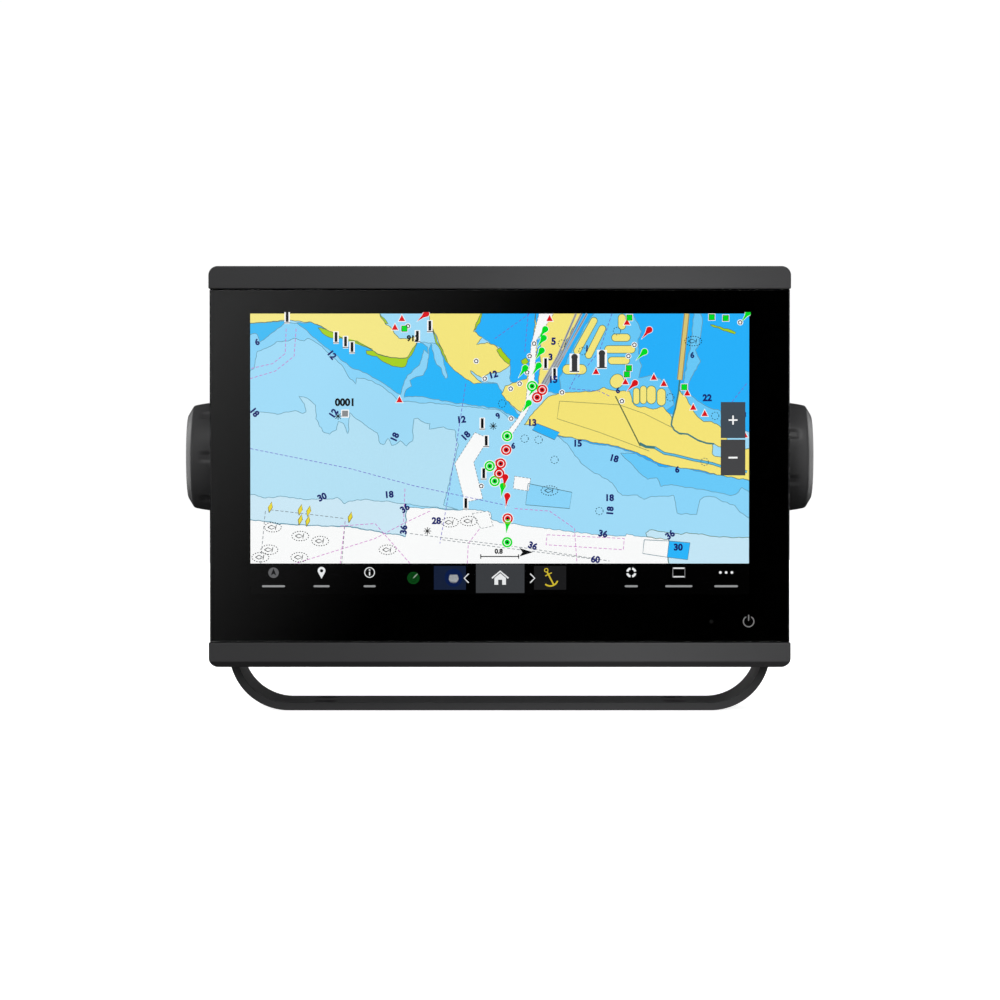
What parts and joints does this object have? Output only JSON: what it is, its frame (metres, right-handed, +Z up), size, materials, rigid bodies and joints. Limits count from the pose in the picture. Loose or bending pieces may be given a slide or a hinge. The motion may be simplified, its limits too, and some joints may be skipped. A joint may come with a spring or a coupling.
{
  "type": "marine chartplotter display",
  "caption": "Edge-to-edge glass marine chartplotter in a U-shaped bail bracket with side clamp knobs, rear sockets and a hinged card door.",
  "frame": {"origin": "middle of the object's outline on the bracket's underside", "axes": "+Z up, the screen faces -Y, +X to the viewer's right"},
  "size_m": [0.2546, 0.075, 0.1787],
  "materials": {
    "coated_aluminium": "charcoal powder coat, fine grained",
    "trim_plastic": "charcoal satin moulding",
    "case_plastic": "black fine textured moulding",
    "knob_plastic": "dark grey satin moulding",
    "nylon": "black glass filled nylon",
    "cover_glass": "clear hardened glass, polished",
    "black_ink": "black ink and black moulding",
    "rubber": "black silicone rubber",
    "screen_glass": "lit colour panel",
    "white_plastic": "white light guide",
    "aluminium": "plain sheet",
    "steel": "stainless steel, turned",
    "brass": "turned brass",
    "board_laminate": "green solder mask",
    "ceramic": "fired ceramic",
    "amber_film": "amber flexible circuit",
    "label_film": "blank satin metallised film"
  },
  "bodies": {
    "bracket": {"bracket": "coated_aluminium"},
    "bushes": {"bush_left": "nylon", "bush_right": "nylon"},
    "display": {"trim_top": "trim_plastic", "trim_bottom": "trim_plastic", "cover_glass": "cover_glass", "ink_border": "black_ink", "glass_tape": "rubber", "lcd_panel": "screen_glass", "backlight": "white_plastic", "lcd_tray": "aluminium", "front_frame": "case_plastic", "housing_seal": "rubber", "frame_screw_1": "steel", "frame_screw_2": "steel", "frame_screw_3": "steel", "frame_screw_4": "steel", "frame_screw_5": "steel", "frame_screw_6": "steel", "chassis_plate": "aluminium", "chassis_screw_1": "steel", "chassis_screw_2": "steel", "chassis_screw_3": "steel", "chassis_screw_4": "steel", "main_board": "board_laminate", "board_screw_1": "steel", "board_screw_2": "steel", "board_screw_3": "steel", "board_screw_4": "steel", "processor_shield": "steel", "gps_antenna": "ceramic", "buzzer": "black_ink", "light_sensor": "ceramic", "display_ribbon": "amber_film", "touch_ribbon": "amber_film", "card_ribbon": "amber_film", "card_reader": "black_ink", "rear_housing": "case_plastic", "power_socket": "nylon", "bus_socket": "nylon", "network_socket_1": "nylon", "network_socket_2": "nylon", "sonar_socket": "nylon", "ground_screw": "steel", "vent_plug": "rubber", "rating_plate": "label_film", "insert_left": "brass", "insert_right": "brass", "door_pin": "steel"},
    "washer_left": {"washer_left": "steel"},
    "washer_right": {"washer_right": "steel"},
    "knob_left": {"knob_left": "knob_plastic", "knob_cap_left": "knob_plastic", "stud_left": "steel"},
    "knob_right": {"knob_right": "knob_plastic", "knob_cap_right": "knob_plastic", "stud_right": "steel"},
    "card_door": {"card_door": "case_plastic", "door_seal": "rubber"}
  },
  "joints": [
    {"name": "display_lift", "type": "slide", "parent": "bracket", "child": "bushes", "axis": [0, 0, 1], "range_m": [0, 0.045]},
    {"name": "display_tilt", "type": "hinge", "parent": "bushes", "child": "display", "pos_m": [0, 0.0045, 0.10222], "axis": [-1, 0, 0], "range_deg": [-4, 60]},
    {"name": "washer_left_travel", "type": "slide", "parent": "display", "child": "washer_left", "axis": [-1, 0, 0], "range_m": [0, 0.01]},
    {"name": "knob_left_turn", "type": "hinge", "parent": "washer_left", "child": "knob_left", "pos_m": [-0.1196, 0.0045, 0.10222], "axis": [-1, 0, 0], "range_deg": [0, 2870]},
    {"name": "washer_right_travel", "type": "slide", "parent": "display", "child": "washer_right", "axis": [1, 0, 0], "range_m": [0, 0.01]},
    {"name": "knob_right_turn", "type": "hinge", "parent": "washer_right", "child": "knob_right", "pos_m": [0.1196, 0.0045, 0.10222], "axis": [1, 0, 0], "range_deg": [0, 2870]},
    {"name": "card_door_hinge", "type": "hinge", "parent": "display", "child": "card_door", "pos_m": [0.06, 0.0269, 0.15125], "axis": [1, 0, 0], "range_deg": [0, 100]}
  ],
  "couplings": [
    {"joint": "washer_left_travel", "follows": "knob_left_turn", "m_per_rad": 0.00019894},
    {"joint": "washer_right_travel", "follows": "knob_right_turn", "m_per_rad": 0.00019894}
  ]
}
